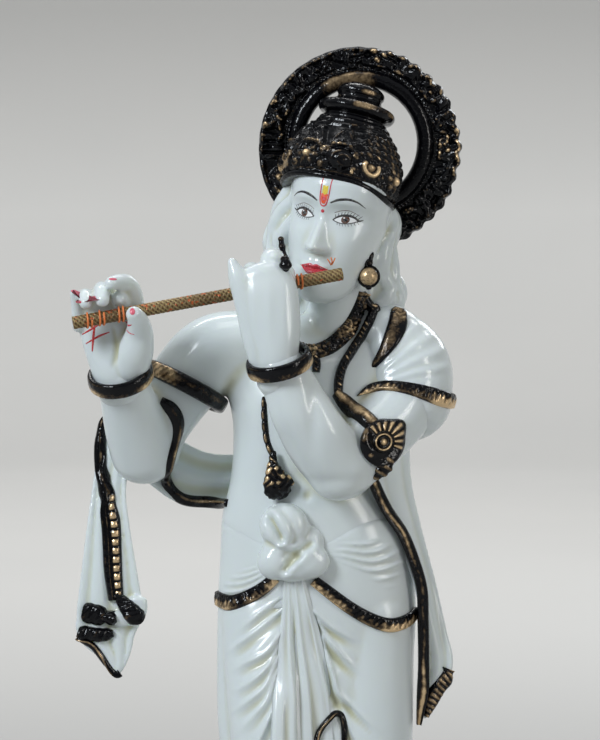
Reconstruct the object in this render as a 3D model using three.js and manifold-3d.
// A cast figurine of a standing flute player on a low round plinth.
// Millimetres, +Z up, the front faces -Y, and the origin is the middle of the plinth's underside.

import * as THREE from 'three';
import { mergeVertices } from 'three/addons/utils/BufferGeometryUtils.js';
import Module from 'manifold-3d';

const wasm = await Module();
wasm.setup();

// Driving dimensions
const figureHeight = 366;       // soles to the knob of the crown
const plinthHeight = 18;
const plinthRadius = 50;
const plinthStep = 3;           // how far the waist of the plinth is turned in
const fluteLength = 96;
const fluteRadius = 2.3;
const fluteClearance = 0.3;     // between the rod and its channel through the hands
const haloRadius = 36.8;
const haloHoleRadius = 20.9;
const haloThickness = 5;
const haloRimRadius = 2.6;      // the round moulding along the hole
const haloScallops = 40;
const scallopDepth = 1.1;
const braceletWidth = 5.2;
const braceletThickness = 2;
const armletWidth = 4.6;
const trimWidth = 3.8;
const trimThickness = 1.5;
const clothThickness = 2.6;
const fingerSize = 3.2;         // half thickness of a middle finger
const earringRadius = 3.6;
const chainRadius = 1.3;
const finestCarving = 1.3;      // nothing in the solid is carved finer than this

// The pose and the carving are stations on a figure of so many units, and grow with the real one.
const figureUnits = 366;
const headUnits = 62;
const share = figureHeight / figureUnits;

const white = new THREE.MeshStandardMaterial({ color: 0xe9f0ea, roughness: 0.2, metalness: 0 });
const black = new THREE.MeshStandardMaterial({ color: 0x17130f, roughness: 0.3, metalness: 0 });
const braid = new THREE.MeshStandardMaterial({ color: 0xb08a45, roughness: 0.5, metalness: 0.4 });

const right = new THREE.Vector3(1, 0, 0);
const back = new THREE.Vector3(0, 1, 0);
const up = new THREE.Vector3(0, 0, 1);
const front = back.clone().negate();
const turn = 2 * Math.PI;

// A station point in real millimetres, measured from the soles
function at(x, y, z) {
  return new THREE.Vector3(x, y, z).multiplyScalar(share);
}

// Solids

// A closed triangle mesh as a solid, with its faces turned outwards
function asSolid(geometry) {
  const bare = new THREE.BufferGeometry();
  bare.setAttribute('position', geometry.getAttribute('position').clone());
  bare.setIndex(geometry.index ? geometry.index.clone() : null);
  const merged = mergeVertices(bare, 1e-4);
  const corners = merged.index.array;
  const kept = [];
  for (let i = 0; i < corners.length; i += 3) {
    const [a, b, c] = [corners[i], corners[i + 1], corners[i + 2]];
    if (a !== b && b !== c && c !== a) kept.push(a, b, c);
  }
  const points = merged.getAttribute('position').array;
  const outward = meshVolume(points, kept) > 0;
  if (!outward) kept.reverse();
  const mesh = new wasm.Mesh({
    numProp: 3,
    vertProperties: Float32Array.from(points),
    triVerts: Uint32Array.from(kept),
  });
  return new wasm.Manifold(mesh);
}

function meshVolume(points, corners) {
  const [a, b, c] = [new THREE.Vector3(), new THREE.Vector3(), new THREE.Vector3()];
  let volume = 0;
  for (let i = 0; i < corners.length; i += 3) {
    a.fromArray(points, 3 * corners[i]);
    b.fromArray(points, 3 * corners[i + 1]);
    c.fromArray(points, 3 * corners[i + 2]);
    volume += a.dot(b.cross(c)) / 6;
  }
  return volume;
}

// Shapes that overlap in a ring can shut a void between them, which a casting doesn't have
function withoutHollows(solid) {
  const shells = solid.decompose().filter((shell) => shell.volume() > 0);
  return wasm.Manifold.union(shells);
}

// Joins points that lie closer together than the casting's finest carving, where that leaves the
// skin closed and turns no face over. Joined shapes leave many such slivers where they meet.
function withoutSlivers(solid, finest) {
  const mesh = solid.getMesh();
  const points = [];
  for (let i = 0; i < mesh.vertProperties.length; i += 3) {
    points.push(new THREE.Vector3().fromArray(mesh.vertProperties, i));
  }
  const facesAt = points.map(() => new Set());
  const addFace = (face) => face.forEach((corner) => facesAt[corner].add(face));
  for (let i = 0; i < mesh.triVerts.length; i += 3) addFace([...mesh.triVerts.slice(i, i + 3)]);

  const neighbours = (point) => {
    const found = new Set([...facesAt[point]].flat());
    found.delete(point);
    return found;
  };
  const normal = (face, moved, place) => {
    const [a, b, c] = face.map((corner) => (moved.includes(corner) ? place : points[corner]));
    return new THREE.Triangle(a, b, c).getNormal(new THREE.Vector3());
  };
  const join = (kept, gone) => {
    const around = neighbours(kept);
    if (!around.has(gone)) return false;
    const shared = [...neighbours(gone)].filter((corner) => around.has(corner));
    if (shared.length !== 2) return false;
    const place = points[kept].clone().lerp(points[gone], 0.5);
    const lost = [...facesAt[gone]].filter((face) => face.includes(kept));
    const bent = [...facesAt[kept], ...facesAt[gone]].filter((face) => !lost.includes(face));
    const turns = bent.some((face) => {
      const before = normal(face, [], place);
      return before.dot(normal(face, [kept, gone], place)) < 0.3;
    });
    if (turns) return false;
    lost.forEach((face) => face.forEach((corner) => facesAt[corner].delete(face)));
    const moved = [...facesAt[gone]];
    moved.forEach((face) => {
      face.splice(face.indexOf(gone), 1, kept);
      facesAt[kept].add(face);
    });
    facesAt[gone].clear();
    points[kept] = place;
    return true;
  };

  let joined = true;
  while (joined) {
    const short = [];
    points.forEach((point, index) => neighbours(index).forEach((other) => {
      const length = point.distanceTo(points[other]);
      if (index < other && length < finest) short.push({ index, other, length });
    }));
    short.sort((one, two) => one.length - two.length);
    joined = short.filter(({ index, other }) => join(index, other)).length > 0;
  }
  const faces = new Set(facesAt.flatMap((set) => [...set]));
  const geometry = new THREE.BufferGeometry().setFromPoints(points);
  geometry.setIndex([...faces].flat());
  return asSolid(geometry);
}

function asGeometry(solid) {
  const mesh = solid.getMesh();
  const geometry = new THREE.BufferGeometry();
  geometry.setAttribute('position', new THREE.BufferAttribute(mesh.vertProperties, 3));
  geometry.setIndex(new THREE.BufferAttribute(mesh.triVerts, 1));
  geometry.computeVertexNormals();
  return geometry;
}

// A closed skin through rings with the same number of points. Its ends are closed by a fan from
// the middle of the ring, or straight across where the ring is a thin sheet.
function skin(rings, thin = false) {
  const count = rings[0].length;
  const points = rings.flat();
  const corners = [];
  for (let i = 0; i < rings.length - 1; i += 1) {
    for (let j = 0; j < count; j += 1) {
      const [a, b] = [i * count + j, i * count + ((j + 1) % count)];
      corners.push(a, b, a + count, b, b + count, a + count);
    }
  }
  const cap = [];
  for (let j = 0; j < count; j += 1) {
    const opposite = count - 1 - j;
    if (!thin) cap.push(count, j, (j + 1) % count);
    else if (j < count / 2 - 1) cap.push(j, j + 1, opposite - 1, j, opposite - 1, opposite);
  }
  const close = (ring, first, order) => {
    const middle = new THREE.Vector3();
    ring.forEach((point) => middle.addScaledVector(point, 1 / count));
    const centre = thin ? first : points.push(middle) - 1;
    order.forEach((j) => corners.push(j === count ? centre : first + j));
  };
  close(rings[0], 0, [...cap].reverse());
  close(rings.at(-1), (rings.length - 1) * count, cap);
  const geometry = new THREE.BufferGeometry().setFromPoints(points);
  geometry.setIndex(corners);
  return geometry;
}

// A smooth run through stations, each [x, y, z, halfWidth, halfDepth]
function stationRun(stations) {
  const places = stations.map(([x, y, z]) => at(x, y, z));
  const sizes = stations.map(([, , , wide, deep = wide]) => at(wide, deep, 0));
  return {
    place: new THREE.CatmullRomCurve3(places),
    size: new THREE.CatmullRomCurve3(sizes),
  };
}

// The turns of a full ring of points, which can be closer together towards the front
function ringAngles(sides, frontDensity = 0) {
  const angles = [];
  for (let i = 0; i < sides; i += 1) {
    const even = (i / sides) * turn;
    angles.push(even + frontDensity * Math.cos(even));
  }
  return angles;
}

// A body of level, oval cross-sections, with carving given as relief(angle, z)
function column(stations, { steps, sides, frontDensity = 0, relief = () => 0 }) {
  const run = stationRun(stations);
  const angles = ringAngles(sides, frontDensity);
  const sections = [];
  for (let i = 0; i <= steps; i += 1) {
    const middle = run.place.getPoint(i / steps);
    const size = run.size.getPoint(i / steps);
    sections.push(angles.map((angle) => {
      const raised = relief(angle, middle.z / share) * share;
      const x = middle.x + (size.x + raised) * Math.cos(angle);
      const y = middle.y + (size.y + raised) * Math.sin(angle);
      return new THREE.Vector3(x, y, middle.z);
    }));
  }
  return asSolid(skin(sections));
}

// A limb, finger or fold: oval sections square to its run, rounded off at both ends
function limb(stations, { steps, sides, facing = front, roundness = 2 }) {
  const run = stationRun(stations);
  const sections = [];
  const addRing = (middle, along, size, shrink) => {
    const across = new THREE.Vector3().crossVectors(along, facing).normalize();
    const depth = new THREE.Vector3().crossVectors(along, across);
    const ring = [];
    for (let i = 0; i < sides; i += 1) {
      const angle = (i / sides) * turn;
      const point = middle.clone();
      point.addScaledVector(across, shrink * size.x * Math.cos(angle));
      point.addScaledVector(depth, shrink * size.y * Math.sin(angle));
      ring.push(point);
    }
    sections.push(ring);
  };
  const addEnd = (t, outwards, order) => {
    const middle = run.place.getPoint(t);
    const size = run.size.getPoint(t);
    const along = run.place.getTangent(t);
    const reach = Math.min(size.x, size.y);
    for (const k of order) {
      const bend = (k / roundness) * 1.35;
      const place = middle.clone().addScaledVector(along, outwards * reach * Math.sin(bend));
      addRing(place, along, size, Math.cos(bend));
    }
  };
  const order = Array.from({ length: roundness }, (_, k) => k + 1);
  addEnd(0, -1, [...order].reverse());
  for (let i = 0; i <= steps; i += 1) {
    const t = i / steps;
    addRing(run.place.getPoint(t), run.place.getTangent(t), run.size.getPoint(t), 1);
  }
  addEnd(1, 1, order);
  return asSolid(skin(sections));
}

// A sheet of cloth in the casting. Stations are [x, y, z, halfWidth, foldDepth].
function drape(stations, { across, out, folds, steps, points }) {
  const run = stationRun(stations);
  const half = clothThickness / 2;
  const sections = [];
  for (let i = 0; i <= steps; i += 1) {
    const middle = run.place.getPoint(i / steps);
    const size = run.size.getPoint(i / steps);
    const side = (s, offset) => {
      const fold = size.y * Math.cos(folds * Math.PI * s);
      const point = middle.clone().addScaledVector(across, s * size.x);
      return point.addScaledVector(out, fold + offset);
    };
    const spread = Array.from({ length: points + 1 }, (_, k) => (2 * k) / points - 1);
    const outer = spread.map((s) => side(s, half));
    const inner = spread.map((s) => side(s, -half)).reverse();
    sections.push([...outer, ...inner]);
  }
  return asSolid(skin(sections, true));
}

// A round band about an axis, for bracelets and armlets
function cuff({ middle, axis, radius, depth = radius, width, thickness, sides = 16 }) {
  const profile = [
    new THREE.Vector2(radius - thickness, -width / 2),
    new THREE.Vector2(radius + thickness / 2, -width / 2),
    new THREE.Vector2(radius + thickness, 0),
    new THREE.Vector2(radius + thickness / 2, width / 2),
    new THREE.Vector2(radius - thickness, width / 2),
  ];
  profile.push(profile[0].clone());
  const geometry = new THREE.LatheGeometry(profile, sides);
  geometry.scale(1, 1, depth / radius);
  const lathe = new THREE.Vector3(0, 1, 0);
  const towards = new THREE.Quaternion().setFromUnitVectors(lathe, axis.clone().normalize());
  geometry.applyQuaternion(towards);
  geometry.translate(middle.x, middle.y, middle.z);
  return asSolid(geometry);
}

function ball(middle, radii, sides = 10) {
  const geometry = new THREE.SphereGeometry(1, sides, Math.round(sides * 0.7));
  geometry.rotateX(Math.PI / 2);
  geometry.scale(radii.x, radii.y, radii.z);
  geometry.translate(middle.x, middle.y, middle.z);
  return asSolid(geometry);
}

// A small bead of few faces, for rows of bosses and petals
function boss(middle, radius) {
  const geometry = new THREE.IcosahedronGeometry(radius, 0);
  geometry.translate(middle.x, middle.y, middle.z);
  return asSolid(geometry);
}

// A raised edging that lies along a line of stations [x, y, z]
function edging(places, { facing = front, steps, width = trimWidth, thickness = trimThickness }) {
  const stations = places.map(([x, y, z]) => [x, y, z, width / 2 / share, thickness / share]);
  return limb(stations, { steps, sides: 4, facing, roundness: 1 });
}

// The body and the lower garment

// Stations of the body from the hem to the neck: [x, y, z, halfWidth, halfDepth]
const bodyStations = [
  [8, -4, 14, 21, 15],
  [7, -4, 24, 22, 16],
  [4, -5, 50, 24, 17],
  [2, -5, 80, 28, 18],
  [1, -2, 110, 32.5, 18],
  [0, 0, 135, 35, 18.5],
  [0, 1, 160, 35.4, 20],
  [0.5, 1, 180, 35.5, 21],
  [0, 0, 200, 34, 20.5],
  [-2, -0.5, 212, 31.5, 19],
  [-3.4, -1, 226, 27, 17.5],
  [-1, -1, 244, 28.5, 18.5],
  [0, 0, 258, 32, 18.5],
  [0, 2, 270, 33, 15],
  [1, 4, 278, 24, 11],
  [2, 5, 284, 12, 9],
];

const pleatTop = 196;           // where the gathers of the lower garment start, under the knot
const pleatCount = 15;
const pleatDepth = 1.3;

// Pleats fan out and down from the front of the waist, and fade towards the waist
function pleats(angle, z) {
  const fromFront = Math.abs(Math.atan2(Math.cos(angle), -Math.sin(angle)));
  const strength = THREE.MathUtils.smoothstep(pleatTop - z, 0, 26);
  return pleatDepth * strength * Math.cos(pleatCount * fromFront + (z - pleatTop) * 0.045);
}

// The front of the body's skin at a place, where things lie on it
function bodyFront(x, z, lift = 0) {
  const heights = bodyStations.map((station) => station[2]);
  let above = heights.findIndex((height) => height > z);
  above = THREE.MathUtils.clamp(above, 1, heights.length - 1);
  const t = (z - heights[above - 1]) / (heights[above] - heights[above - 1]);
  const mix = (k) => THREE.MathUtils.lerp(bodyStations[above - 1][k], bodyStations[above][k], t);
  const off = THREE.MathUtils.clamp((x - mix(0)) / mix(3), -0.98, 0.98);
  return [x, mix(1) - mix(4) * Math.sqrt(1 - off * off) - lift, z];
}

function makeBody() {
  return column(bodyStations, { steps: 25, sides: 32, frontDensity: 0.35, relief: pleats });
}

// The standing leg and the leg that crosses in front, as they show through the cloth
function makeLegs() {
  const crossing = [
    [-17, -2, 176, 17], [-14, -9, 135, 16.5], [-11, -13, 100, 15],
    [2, -15, 55, 12.5], [12, -14, 16, 13],
  ];
  const standing = [[18, 0, 176, 17], [19, -3, 120, 15.5], [17, 0, 60, 13], [8, 2, 14, 13]];
  const options = { steps: 6, sides: 10, roundness: 1 };
  return [limb(crossing, options), limb(standing, options)];
}

function makeFeet() {
  const standing = [[10, 9, 7, 6.5, 7], [8, -2, 7, 7, 7], [4, -14, 4.5, 8, 4.5], [1, -22, 3, 7.5, 3]];
  const crossing = [[13, -16, 18, 6, 6.5], [19, -18, 11, 6.5, 6], [26, -24, 5, 7.5, 4], [30, -29, 3, 7, 3]];
  const ankle = [[9, 6, 22, 7], [9, 7, 6, 6.5]];
  const options = { steps: 4, sides: 9, facing: up };
  return [limb(standing, options), limb(crossing, options), limb(ankle, { steps: 1, sides: 8 })];
}

// The knot of cloth at the waist: a bun with a loop round it, over soft lobes
function makeKnot() {
  const outer = [
    [-17.5, -24, 205, 2.8, 3], [-19, -24.5, 211, 3, 3.2], [-15.6, -25.5, 217, 3.2, 3.2],
    [-9.8, -26, 219, 3.4, 3.4], [-4.4, -26.5, 215.6, 3.8, 3.4], [-2.9, -27, 210, 4, 3.4],
    [-5.4, -28, 205, 3.2, 2.8], [-8.4, -28, 202.4, 1.8, 1.8],
  ];
  const lower = [
    [-9, -27, 203, 1.8, 1.8], [-3, -28, 203.8, 3, 2.4], [2.6, -27, 201.4, 3.2, 2.6],
    [4.6, -24, 197.4, 2.2, 2],
  ];
  const lobes = [
    [at(-10.4, -20.5, 210.6), at(8.6, 6.4, 9)],
    [at(-14.2, -22, 199), at(6.6, 6.2, 6.6)],
    [at(-0.6, -22.5, 200.2), at(7.8, 6.8, 7.4)],
    [at(-7.4, -21, 195.6), at(8.2, 6, 5.4)],
  ];
  const options = { sides: 6, roundness: 1 };
  return [
    limb(outer, { steps: 8, ...options }), limb(lower, { steps: 5, ...options }),
    ...lobes.map(([middle, radii]) => ball(middle, radii, 9)),
  ];
}

// The two pleated falls of the sash below the knot
function makeSash() {
  const fall = [
    [-8.5, -22, 192, 4, 0.7], [-7.2, -24.5, 181, 7.2, 1], [-5.2, -26, 160, 12, 1.3],
    [-4, -26.5, 143, 15, 1.6], [-3, -27.5, 126, 17, 1.8], [-2, -28, 111, 17.5, 2],
  ];
  return drape(fall, { across: right, out: front, folds: 5, steps: 6, points: 15 });
}

// The dark edgings of the lower garment
function makeHems() {
  const lift = 1;
  const left = [[-35, 181.6], [-30, 181.4], [-24, 184], [-18.5, 187.6], [-14.2, 191.8]];
  const rightHem = [[0, 190], [6, 185.8], [12.6, 180.8], [20, 176.4], [28, 174], [36.6, 177]];
  const options = { steps: 5, width: 4.8 * share };
  return [left, rightHem].map((line) => edging(line.map(([x, z]) => bodyFront(x, z, lift)), options));
}

// The arms and hands

function makeArms() {
  const leftUpper = [
    [-20, 3, 273, 13], [-36, 2, 270, 14.5], [-47, 0, 260, 13.4], [-57, -3, 246, 12.6],
    [-61, -4, 236, 12.4],
  ];
  const leftFore = [[-61, -5, 235, 12.5, 11.5], [-64, -12, 246, 11.4, 10.8], [-68.2, -25, 263, 8.4, 7.6]];
  const rightUpper = [[29, 3, 262, 14], [31, -5, 254, 13.8], [22.5, -15, 243, 12], [9.5, -23.5, 232, 12]];
  const rightFore = [[8.5, -25, 232, 12], [-1, -31, 245, 11.5], [-12.3, -37, 268, 8.6, 8]];
  const shoulderCloth = [[25, 4, 274, 14, 13], [31.5, 1, 265, 17, 15], [32.5, -3, 253, 16.5, 15]];
  const options = { steps: 4, sides: 12, roundness: 2 };
  return [leftUpper, leftFore, rightUpper, rightFore, shoulderCloth].map((rows) => limb(rows, options));
}

function finger(rows, size = fingerSize) {
  const stations = rows.map(([x, y, z, thick = 1]) => [x, y, z, (thick * size) / share]);
  return limb(stations, { steps: 4, sides: 6, facing: right, roundness: 1 });
}

// The open hand at the far end of the flute, its palm to the front
function makeOpenHand() {
  const palm = [
    [-68.3, -24.5, 260, 8.6, 7.2], [-69.6, -25.4, 266, 9, 7], [-70.2, -26, 272, 10.4, 6.6],
    [-70.6, -26.6, 279, 11.8, 6.2], [-71.4, -27, 286, 12.2, 5.6], [-72.2, -28, 291.4, 11.4, 5],
  ];
  const thumb = [
    [-64.6, -28.5, 267, 6, 5.6], [-62.8, -31.5, 273, 6.4, 6], [-61.2, -35, 279.4, 5, 4.8],
    [-61.4, -39.5, 284, 3.8, 3.6], [-62.6, -42, 286.6, 2.9, 2.8],
  ];
  const fingers = [
    [[-80, -28, 284], [-80.2, -30, 291, 0.96], [-79.8, -35, 292.4, 0.88], [-79.4, -39.5, 290.4, 0.8]],
    [[-74.6, -28, 285, 1.05], [-74.4, -30, 293.6], [-74, -35.4, 294.2, 0.92], [-73.6, -40.5, 291.4, 0.84]],
    [
      [-65, -27, 282, 1.35], [-64, -28.6, 291, 1.3], [-65.4, -32, 296.4, 1.05],
      [-68, -36.5, 297.4, 0.92], [-70.4, -39.5, 297.2, 0.8],
    ],
    [[-67.6, -28, 284, 1.3], [-67.4, -31, 290, 1.2], [-68, -34, 291.6, 0.95]],
    [[-82.6, -29, 282, 0.8], [-83.2, -32, 289.6, 0.64], [-84.1, -34, 293.6, 0.5]],
  ];
  const options = { steps: 4, sides: 10 };
  return [limb(palm, options), limb(thumb, options), ...fingers.map((rows) => finger(rows))];
}

// The near hand, its back to the front, with the little finger upright
function makeNearHand() {
  const palm = [
    [-12.3, -37, 264, 8.4, 7.4], [-13.6, -38, 272, 8.8, 6.8], [-16.2, -38, 282, 10.2, 6.4],
    [-17, -37, 291, 11, 6], [-17, -36, 297, 10.4, 5.6],
  ];
  const curls = [[-22, -1.2, 1.02], [-16.4, 0.4, 1.12], [-10.6, 1.8, 1.08]];
  const fingers = curls.map(([x, lift, size]) => finger([
    [x, -36.2, 290], [x, -35, 297.6 + lift], [x, -30, 301.2 + lift], [x, -24, 298], [x, -22.6, 292, 0.9],
  ], fingerSize * size));
  const upright = [[-24.4, -37, 282, 1.1], [-26.6, -38, 294], [-28.8, -38, 304.4, 0.8]];
  const little = finger(upright, fingerSize * 0.85);
  const thumb = finger([[-7, -34, 274, 1.5], [-6, -29, 282, 1.25], [-8, -26, 290, 1]]);
  const options = { steps: 3, sides: 10 };
  return [limb(palm, options), ...fingers, little, thumb];
}

// The flute lies from the far hand to just past the lips
const fluteEnd = at(9.4, -24, 300);
const fluteDirection = at(-93.3, -16, -16.4).normalize();

function fluteRod(radius, extra) {
  const length = fluteLength + 2 * extra;
  const geometry = new THREE.CylinderGeometry(radius, radius, length, 16);
  const lathe = new THREE.Vector3(0, 1, 0);
  geometry.applyQuaternion(new THREE.Quaternion().setFromUnitVectors(lathe, fluteDirection));
  const middle = fluteEnd.clone().addScaledVector(fluteDirection, fluteLength / 2);
  geometry.translate(middle.x, middle.y, middle.z);
  return asSolid(geometry);
}

// The head, in a frame of its own: its middle at the eyes, its face to -Y

const headNod = THREE.MathUtils.degToRad(5);
const headTilt = THREE.MathUtils.degToRad(10);
const headTurn = THREE.MathUtils.degToRad(-19);
const headPlace = new THREE.Matrix4();
headPlace.makeRotationFromEuler(new THREE.Euler(headNod, headTilt, headTurn, 'YZX'));
headPlace.setPosition(at(8.6, -1, 320.5));

function onHead(solid) {
  return solid.transform(headPlace.elements);
}

// Level stations from the chin to the top, on the usual halves and fifths of a head
function makeSkull() {
  const chin = -headUnits / 2;
  const mouth = chin + headUnits * 0.2;
  const noseBase = chin + headUnits * 0.3;
  const stations = [
    [0, -11.5, chin, 4.5, 4.5],
    [0, -9.5, chin + 2.5, 9, 8.8],
    [0, -6.5, chin + 7, 12, 12.8],
    [0, -4, mouth, 14, 15.2],
    [0, -2, noseBase, 15.8, 16.8],
    [0, 0, -5, 17.2, 18.6],
    [0, 1.2, 0, 17.6, 19],
    [0, 1, 6, 18.2, 20.3],
    [0, 1, 13, 18.6, 20.4],
    [0, 1.5, 21, 14, 16],
    [0, 1.5, -chin - 4, 9, 10],
    [0, 1.5, -chin, 4, 5],
  ];
  const skull = column(stations, { steps: 14, sides: 18, frontDensity: 0.2 });
  const nose = limb([
    [0, -17.6, 1, 1.8, 2], [0, -20.6, -7.5, 2.4, 2.2], [0, -20, noseBase + 1, 3.2, 2.2],
  ], { steps: 2, sides: 6, roundness: 1 });
  const lips = limb([
    [-5, -17.6, mouth, 1.2], [0, -19.4, mouth, 1.7], [5, -17.6, mouth, 1.2],
  ], { steps: 4, sides: 5, facing: up, roundness: 1 });
  const lids = [-1, 1].map((side) => ball(at(side * 7.6, -15.6, -0.5), at(4.6, 3.2, 2.6), 6));
  return [skull, nose, lips, ...lids].map(onHead);
}

// Long wavy hair, from under the crown to the shoulders
function makeHair() {
  const locks = (angle, z) => 1.3 * Math.cos(13 * angle + 1.6 * Math.sin(z * 0.16));
  const fall = [
    [7, 10, 279, 20, 9], [7, 9, 289, 25.5, 12], [7.3, 9, 300, 25.3, 14],
    [8.2, 8, 314, 23.6, 15.5], [9.5, 7, 328, 21.6, 17], [11, 5, 340, 18, 16],
  ];
  const nape = [[8, 16, 292, 19, 1.4], [7, 19, 272, 16, 1.4], [5, 19.5, 252, 9, 1.2]];
  const neck = [[9.5, 2, 294, 10], [3, 4, 270, 11]];
  return [
    column(fall, { steps: 7, sides: 40, relief: locks }),
    drape(nape, { across: right, out: back, folds: 4, steps: 4, points: 10 }),
    limb(neck, { steps: 2, sides: 10, roundness: 1 }),
  ];
}

// The crown: a turned cap in tiers, set back on the head, with rows of bosses
const crownLean = THREE.MathUtils.degToRad(-15);
const crownPlace = new THREE.Matrix4().makeRotationX(crownLean);
crownPlace.setPosition(at(-2, 1, 7.5));
const crownArch = 2.6;          // how far the rim rises over the forehead

// The rise of the crown's rim at a place, which fades towards the top and the sides
function archOver(x, y, z) {
  const facing = THREE.MathUtils.smoothstep(-y / Math.max(Math.hypot(x, y), 1), 0.1, 1);
  return crownArch * facing * (1 - THREE.MathUtils.smoothstep(z / share, 4, 17));
}

function makeCrown() {
  const profile = [
    [0, -1], [20, -1], [21.3, 0.2], [20.5, 2], [20.9, 8.5], [19.4, 15.5], [15, 21.5],
    [10.8, 27.5], [13.6, 31.5], [8, 35], [7.6, 38.5], [0, 41.5],
  ].map(([radius, z]) => new THREE.Vector2(radius, z).multiplyScalar(share));
  const cap = new THREE.LatheGeometry(profile, 20);
  cap.rotateX(Math.PI / 2);
  const corner = new THREE.Vector3();
  const corners = cap.getAttribute('position');
  for (let i = 0; i < corners.count; i += 1) {
    corner.fromBufferAttribute(corners, i);
    corners.setZ(i, corner.z + archOver(corner.x, corner.y, corner.z));
  }
  const bosses = [];
  const addRow = (count, radius, z, size, lag) => {
    for (let i = 0; i < count; i += 1) {
      const angle = ((i + lag) / count) * turn;
      const middle = at(radius * Math.cos(angle), radius * Math.sin(angle), z);
      middle.z += archOver(middle.x, middle.y, middle.z);
      bosses.push(boss(middle, size * share));
    }
  };
  addRow(11, 18.8, 8.6, 4.2, 0.25);
  addRow(13, 16, 18, 2.8, 0.75);
  return [asSolid(cap), ...bosses].map((solid) => onHead(solid.transform(crownPlace.elements)));
}

// The halo ring behind the head, with a scalloped edge
function makeHalo() {
  const outline = new THREE.Shape();
  const points = 2 * haloScallops;
  for (let i = 0; i < points; i += 1) {
    const radius = haloRadius - (i % 2) * scallopDepth;
    const angle = (i / points) * turn;
    const [x, y] = [radius * Math.cos(angle), radius * Math.sin(angle)];
    if (i === 0) outline.moveTo(x, y);
    else outline.lineTo(x, y);
  }
  const hole = new THREE.Path();
  hole.absarc(0, 2 * share, haloHoleRadius + haloRimRadius / 2, 0, turn, true);
  outline.holes.push(hole);
  const plate = new THREE.ExtrudeGeometry(outline, {
    depth: haloThickness, bevelEnabled: false, curveSegments: 26,
  });
  plate.translate(0, 0, -haloThickness / 2);
  const rimCentre = haloHoleRadius + haloRimRadius;
  const rim = new THREE.TorusGeometry(rimCentre, haloRimRadius + haloThickness / 6, 6, 28);
  rim.translate(0, 2 * share, 0);
  const place = new THREE.Matrix4().makeRotationFromEuler(new THREE.Euler(
    THREE.MathUtils.degToRad(90),
    THREE.MathUtils.degToRad(8),
    0,
    'YZX',
  ));
  place.setPosition(at(16.4, 14, 344));
  return [asSolid(plate), asSolid(rim)].map((solid) => solid.transform(place.elements));
}

// Cloth over the shoulders and arms

function makeShawl() {
  const sling = [
    [-18, 10, 224, 9.5, 1], [-36, 8, 224, 9.5, 1], [-50, 4, 228, 12, 1], [-60, 2, 236, 13, 0.8],
  ];
  const behind = [
    [-20, 10.6, 225, 9.5, 1], [-12, 14.6, 226, 9.4, 1], [-3, 16.4, 227.6, 9.2, 1],
    [7, 15.8, 229.6, 9, 1], [16, 12.8, 232, 9, 1], [25, 8.6, 235, 9, 1],
  ];
  const leftEnd = [
    [-66, 2.5, 249, 10.4, 0.6], [-71.2, 0.5, 237, 7.4, 0.8], [-74, -1.5, 223.5, 6.4, 1],
    [-74.4, -4, 209, 7.8, 1.3], [-74.1, -5.5, 191.5, 10.4, 1.5], [-74, -6, 179, 12, 1.6],
    [-74.3, -6, 172, 11.6, 1.5], [-74, -6, 166, 9, 1.2], [-72.4, -6, 161, 6, 1],
    [-71.7, -6, 154.4, 1.2, 0.3],
  ];
  const rightEnd = [
    [27.5, 2.5, 232, 12.6, 0.6], [29.4, 0.7, 220, 12, 0.8], [33, -1, 208, 9, 0.9],
    [36.7, -1.8, 197, 7.4, 1], [39.8, -2, 187, 5.9, 1.1], [41.7, -2.2, 178, 5.4, 1.2],
    [43.2, -2.5, 168.8, 5.5, 1.2], [44.4, -2.8, 158.6, 6.2, 1], [43.1, -3, 148, 4.6, 0.6],
    [40.4, -3.3, 138, 1.2, 0.2],
  ];
  const aslant = new THREE.Vector3(0.77, 0.64, 0);
  return [
    drape(sling, { across: up, out: front, folds: 2, steps: 5, points: 7 }),
    drape(behind, { across: up, out: back, folds: 2, steps: 5, points: 5 }),
    drape(leftEnd, { across: right, out: front, folds: 2.5, steps: 9, points: 8 }),
    drape(rightEnd, { across: aslant, out: front, folds: 1.5, steps: 9, points: 6 }),
  ];
}

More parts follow.
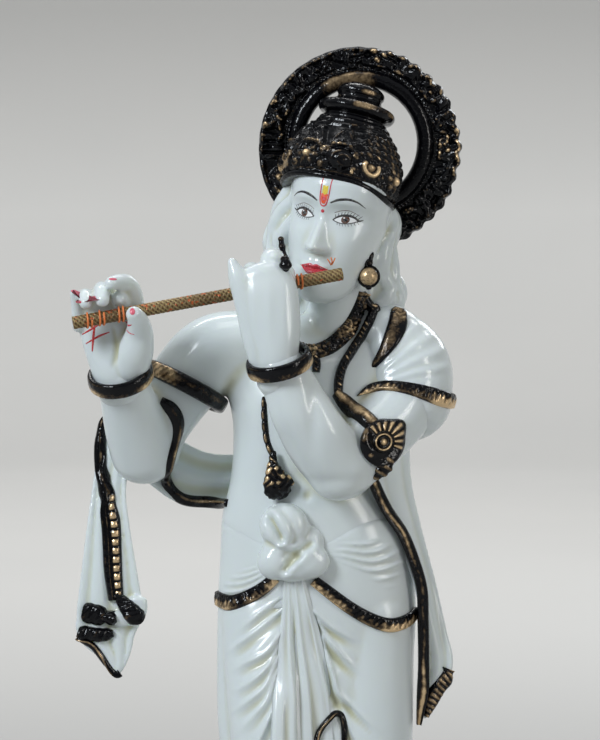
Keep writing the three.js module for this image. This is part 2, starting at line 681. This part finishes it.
// The dark edgings of the shawl
function makeShawlEdgings() {
  const slingEdge = [
    [-29.6, 4, 216.6], [-37.5, 4, 216.2], [-44.7, 3, 216.4], [-49.4, 1.5, 218.2], [-53.2, -3, 227.4],
    [-49.2, -13, 240.6], [-48.6, -13, 246.4], [-54.9, -12, 254.4],
  ];
  const leftFront = [
    [-76.6, -1.5, 245], [-77.1, -2.5, 233.5], [-75.5, -4, 223], [-72.5, -7, 209],
    [-72.2, -8.6, 194], [-71.4, -9, 180],
  ];
  const leftTip = [[-85.4, -7.5, 168], [-78, -8, 163], [-72.4, -7.5, 155]];
  const leftFold = [[-84, -8.5, 177], [-74, -9.5, 175.4], [-62.4, -8.5, 177]];
  const leftHem = [[-86, -8, 169.4], [-79, -8.6, 169.6], [-72.6, -8.6, 168.8]];
  const rightFront = [
    [20.6, -12, 227], [23.3, -11.4, 218.7], [27.3, -10.6, 208], [31.9, -9, 197.3], [35.4, -7.6, 186.6],
    [37.4, -6.6, 174], [38.6, -5.8, 158], [39.6, -4.8, 140],
  ];
  const rightHem = [[40.4, -4.8, 139], [44, -4.6, 147], [50, -3.6, 155]];
  const shoulderLeaf = [
    [29.6, -2, 290, 2, 1.8], [30, -6, 284, 3.5, 2.4], [27.6, -9.5, 276.5, 3.2, 2.4],
    [23.6, -12.5, 270, 2, 2], [19.4, -14, 263.6, 0.6, 1],
  ];
  return [
    limb(shoulderLeaf, { steps: 4, sides: 5, roundness: 1 }),
    edging(slingEdge, { steps: 8 }),
    edging(leftFront, { steps: 6, width: 5.4 * share }),
    edging(leftTip, { steps: 2, width: 2.6 * share }),
    edging(leftFold, { steps: 3, width: 6 * share }),
    edging(leftHem, { steps: 2, width: 5 * share }),
    edging(rightFront, { steps: 8, width: 4 * share }),
    edging(rightHem, { steps: 2, width: 5.6 * share }),
  ];
}

// Jewellery

function makeCuffs() {
  const open = cuff({
    middle: at(-68.4, -25.4, 264.2), axis: at(-3.4, -9, 17), radius: 9.6 * share,
    width: braceletWidth, thickness: braceletThickness,
  });
  const near = cuff({
    middle: at(-12.6, -37.2, 269.6), axis: at(-4.4, -6, 18), radius: 9.6 * share,
    width: braceletWidth, thickness: braceletThickness,
  });
  const farArmlet = cuff({
    middle: at(-46.6, 0, 258.4), axis: at(-9.5, -3, -18), radius: 13.4 * share,
    width: armletWidth, thickness: trimThickness, sides: 18,
  });
  const nearArmlet = cuff({
    middle: at(32, -4, 255.5), axis: at(-1, -4, -16), radius: 16.4 * share, depth: 15.2 * share,
    width: armletWidth, thickness: trimThickness, sides: 20,
  });
  return [open, near, farArmlet, nearArmlet];
}

function makeNecklaces() {
  const collar = [
    [19.5, -4, 292], [16, -8, 284], bodyFront(11, 276), bodyFront(4, 272.6), bodyFront(-2, 271.6),
    bodyFront(-10, 273.6), bodyFront(-15, 279),
  ];
  const rope = [
    [22.4, -5, 290.4], [20.4, -9, 283.6], [16.6, -12, 277], bodyFront(12, 270, 1), bodyFront(8.4, 262, 1),
    bodyFront(9.5, 255, 1), [15, -22.5, 250], [20, -26, 245],
  ];
  const thin = [[-18, 256], [-17.8, 247], [-16.8, 239], [-14.6, 230]].map(([x, z]) => bodyFront(x, z));
  const rosette = ball(at(24.2, -28.5, 241.5), at(7.6, 4.5, 8), 9);
  const petals = [];
  for (let i = 0; i < 6; i += 1) {
    const angle = (i / 6) * turn;
    const middle = at(24.2 + 5.6 * Math.cos(angle), -30.5, 241.5 + 5.6 * Math.sin(angle));
    petals.push(boss(middle, 2.8 * share));
  }
  const tail = limb([[23, -28, 235, 2.6], [21.5, -26, 229, 1.6]], { steps: 2, sides: 6 });
  const pendant = ball(at(...bodyFront(-13.4, 226, 0.4)), at(5.2, 2.8, 5), 7);
  return [
    edging(collar, { steps: 7, width: 6 * share, thickness: 2.2 * share }),
    edging(rope, { steps: 9, width: 2.6 * chainRadius, thickness: 1.6 * chainRadius }),
    edging(thin, { steps: 4, width: 2 * chainRadius, thickness: 1.4 * chainRadius }),
    rosette, ...petals, tail, pendant,
  ];
}

function makeEarrings() {
  const size = new THREE.Vector3(earringRadius, earringRadius, earringRadius);
  const near = at(19, -9, 298.4);
  const far = at(-10.8, -7, 302.7);
  const hook = [[19, -8, 301, 1.3], [19.5, -6, 307, 1.5]];
  const farHook = [[-10.8, -7, 304, 1.4], [-10, -3, 310, 1.6]];
  return [
    ball(near, size, 8),
    ball(far, size.clone().multiplyScalar(0.8), 6),
    limb(hook, { steps: 1, sides: 5, roundness: 1 }),
    limb(farHook, { steps: 1, sides: 5, roundness: 1 }),
  ];
}

// The three pieces

function makeFigure() {
  const parts = [
    makeBody(), ...makeLegs(), ...makeFeet(), ...makeKnot(), makeSash(), ...makeHems(),
    ...makeArms(), ...makeOpenHand(), ...makeNearHand(), ...makeShawl(), ...makeShawlEdgings(),
    ...makeSkull(), ...makeHair(), ...makeCrown(), ...makeHalo(), ...makeCuffs(),
    ...makeNecklaces(), ...makeEarrings(),
  ];
  const whole = withoutSlivers(withoutHollows(wasm.Manifold.union(parts)), finestCarving);
  const floor = new THREE.BoxGeometry(4 * plinthRadius, 4 * plinthRadius, plinthHeight);
  floor.translate(0, 0, -plinthHeight / 2);
  return whole
    .subtract(fluteRod(fluteRadius + fluteClearance, fluteClearance))
    .subtract(asSolid(floor));
}

function makePlinth() {
  const profile = [
    [0, 0], [plinthRadius, 0], [plinthRadius, plinthHeight * 0.3],
    [plinthRadius - plinthStep, plinthHeight * 0.4], [plinthRadius - plinthStep, plinthHeight * 0.65],
    [plinthRadius - plinthStep / 3, plinthHeight * 0.75], [plinthRadius - plinthStep / 3, plinthHeight],
    [0, plinthHeight],
  ].map(([radius, z]) => new THREE.Vector2(radius, z));
  const turned = new THREE.LatheGeometry(profile, 40);
  turned.rotateX(Math.PI / 2);
  return asSolid(turned);
}

const model = new THREE.Group();

function addPiece(name, solid, material, height) {
  const mesh = new THREE.Mesh(asGeometry(solid), material);
  mesh.name = name;
  mesh.position.z = height;
  model.add(mesh);
}

addPiece('plinth', makePlinth(), black, 0);
addPiece('figure', makeFigure(), white, plinthHeight);
addPiece('flute', fluteRod(fluteRadius, 0), braid, plinthHeight);

export default model;
